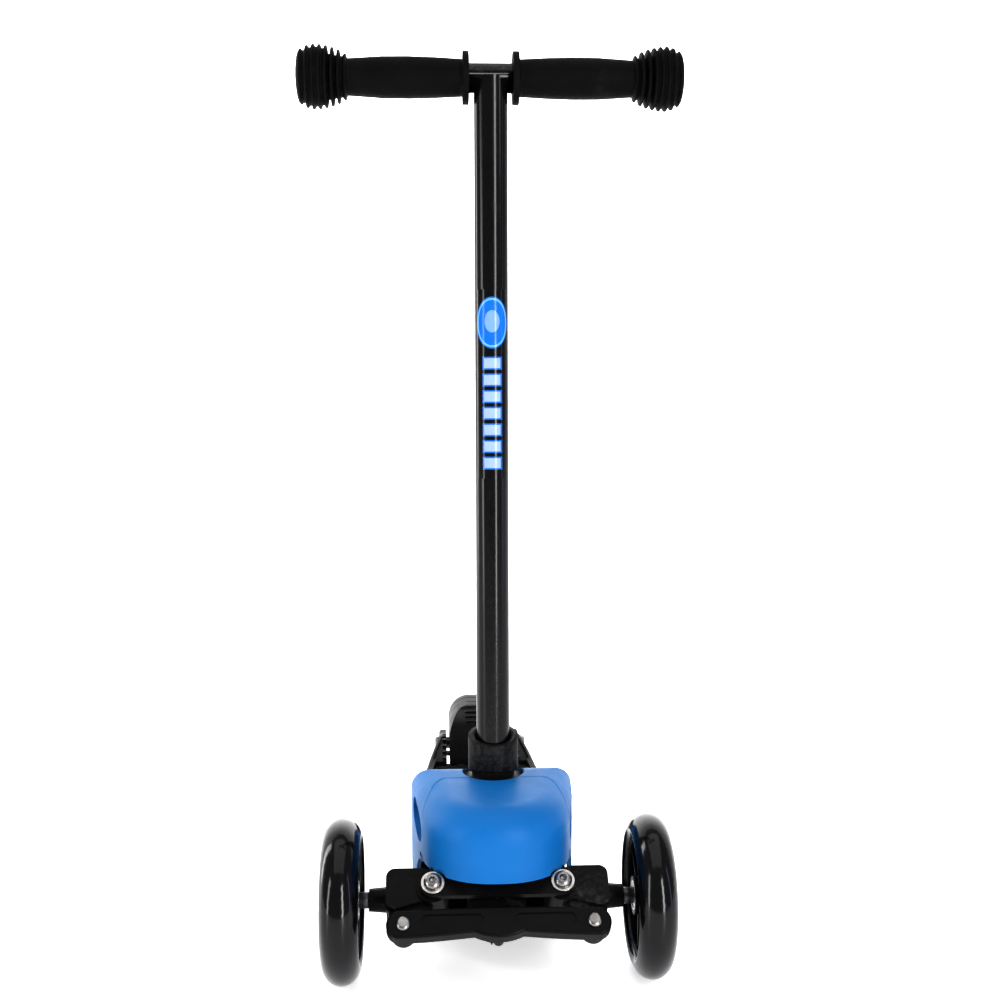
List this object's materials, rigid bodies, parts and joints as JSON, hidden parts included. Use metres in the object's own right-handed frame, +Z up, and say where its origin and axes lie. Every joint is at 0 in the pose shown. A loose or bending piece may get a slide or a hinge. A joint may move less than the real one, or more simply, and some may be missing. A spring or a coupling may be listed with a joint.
{
  "type": "kick scooter",
  "caption": "Three-wheeled lean-to-steer kick scooter for toddlers: fixed-height T-bar, blue nose hood, low ribbed deck, rear press-down fender brake.",
  "frame": {"origin": "centre of the bounding box at the level of the ground", "axes": "+Z up; -Y is the way the scooter rides, so the two front wheels are at -Y; X across"},
  "size_m": [0.291, 0.5436, 0.6877],
  "materials": {
    "black_nylon": "moulded glass-filled nylon, fine grain",
    "mat_rubber": "ribbed rubber mat",
    "matte_collar": "soft matt",
    "blue_plastic": "satin blue moulding",
    "zinc_steel": "bright zinc plate",
    "spring_steel": "oiled spring steel",
    "black_paint": "gloss black powder coat",
    "grip_rubber": "matt soft rubber",
    "gloss_black": "polished black moulding",
    "brass_bush": "sintered bush",
    "wheel_pu": "cast polyurethane, glossy black",
    "hub_plastic": "black nylon core",
    "bearing_steel": "ground steel"
  },
  "bodies": {
    "frame": {"deck_frame": "black_nylon", "foot_mat": "mat_rubber", "deck_screws": "zinc_steel", "steering_bracket": "black_nylon", "stem_socket": "black_nylon", "neck_sleeve": "black_nylon", "stem_collar": "matte_collar", "front_hood": "blue_plastic", "nose_shroud": "blue_plastic", "hood_screws": "zinc_steel", "kingpin_bolts": "zinc_steel", "kingpin_washers": "zinc_steel", "kingpin_nuts": "zinc_steel", "spring_post": "zinc_steel", "centring_spring": "spring_steel", "release_spring": "spring_steel", "rear_axle": "zinc_steel", "rear_axle_nut": "zinc_steel", "rear_side_spacers": "zinc_steel", "rear_spacer": "zinc_steel", "brake_pin": "zinc_steel", "brake_spring": "spring_steel"},
    "t_bar": {"t_bar_tube": "black_paint", "left_grip": "grip_rubber", "right_grip": "grip_rubber", "stem_plug": "black_nylon"},
    "release_button": {"release_button": "black_nylon"},
    "left_knuckle": {"left_knuckle": "black_nylon", "left_knuckle_bushes": "brass_bush", "left_tie_pin": "zinc_steel", "left_front_axle": "zinc_steel", "left_axle_spacer": "zinc_steel", "left_front_spacer": "zinc_steel"},
    "right_knuckle": {"right_knuckle": "black_nylon", "right_knuckle_bushes": "brass_bush", "right_tie_pin": "zinc_steel", "right_front_axle": "zinc_steel", "right_axle_spacer": "zinc_steel", "right_front_spacer": "zinc_steel"},
    "tie_bar": {"tie_bar": "black_nylon"},
    "left_wheel": {"left_front_tyre": "wheel_pu", "left_front_hub": "hub_plastic", "left_front_bearings": "bearing_steel"},
    "right_wheel": {"right_front_tyre": "wheel_pu", "right_front_hub": "hub_plastic", "right_front_bearings": "bearing_steel"},
    "rear_wheel": {"rear_tyre": "wheel_pu", "rear_hub": "hub_plastic", "rear_bearings": "bearing_steel"},
    "brake": {"rear_fender": "gloss_black", "brake_pad": "spring_steel"}
  },
  "joints": [
    {"name": "t_bar_lift", "type": "slide", "parent": "frame", "child": "t_bar", "axis": [0, 0.075, 0.9972], "range_m": [0, 0.12]},
    {"name": "release_press", "type": "slide", "parent": "frame", "child": "release_button", "axis": [0, -0.9972, 0.075], "range_m": [0, 0.003], "stiffness_N_per_m": 600, "springref_m": -0.002, "deforming": ["release_spring"]},
    {"name": "left_steer", "type": "hinge", "parent": "frame", "child": "left_knuckle", "pos_m": [-0.047, -0.2185, 0.06], "axis": [0, -0.6428, 0.766], "range_deg": [-12, 12], "stiffness_Nm_per_rad": 12, "deforming": ["centring_spring"]},
    {"name": "right_steer", "type": "hinge", "parent": "frame", "child": "right_knuckle", "pos_m": [0.047, -0.2185, 0.06], "axis": [0, -0.6428, 0.766], "range_deg": [-13, 13]},
    {"name": "tie_bar_pivot", "type": "hinge", "parent": "left_knuckle", "child": "tie_bar", "pos_m": [-0.068, -0.24148, 0.04072], "axis": [0, -0.6428, 0.766], "range_deg": [-12, 12]},
    {"name": "left_wheel_spin", "type": "hinge", "parent": "left_knuckle", "child": "left_wheel", "pos_m": [-0.1135, -0.2135, 0.06], "axis": [1, 0, 0], "continuous": true},
    {"name": "right_wheel_spin", "type": "hinge", "parent": "right_knuckle", "child": "right_wheel", "pos_m": [0.1135, -0.2135, 0.06], "axis": [1, 0, 0], "continuous": true},
    {"name": "rear_wheel_spin", "type": "hinge", "parent": "frame", "child": "rear_wheel", "pos_m": [0, 0.2235, 0.04], "axis": [1, 0, 0], "continuous": true},
    {"name": "brake_press", "type": "hinge", "parent": "frame", "child": "brake", "pos_m": [0, 0.1575, 0.05], "axis": [-1, 0, 0], "range_deg": [0, 3.6], "stiffness_Nm_per_rad": 6, "springref_deg": -5.73, "deforming": ["brake_spring"]}
  ],
  "couplings": [
    {"joint": "right_steer", "follows": "left_steer", "ratio": 1},
    {"joint": "tie_bar_pivot", "follows": "left_steer", "ratio": -0.691}
  ]
}
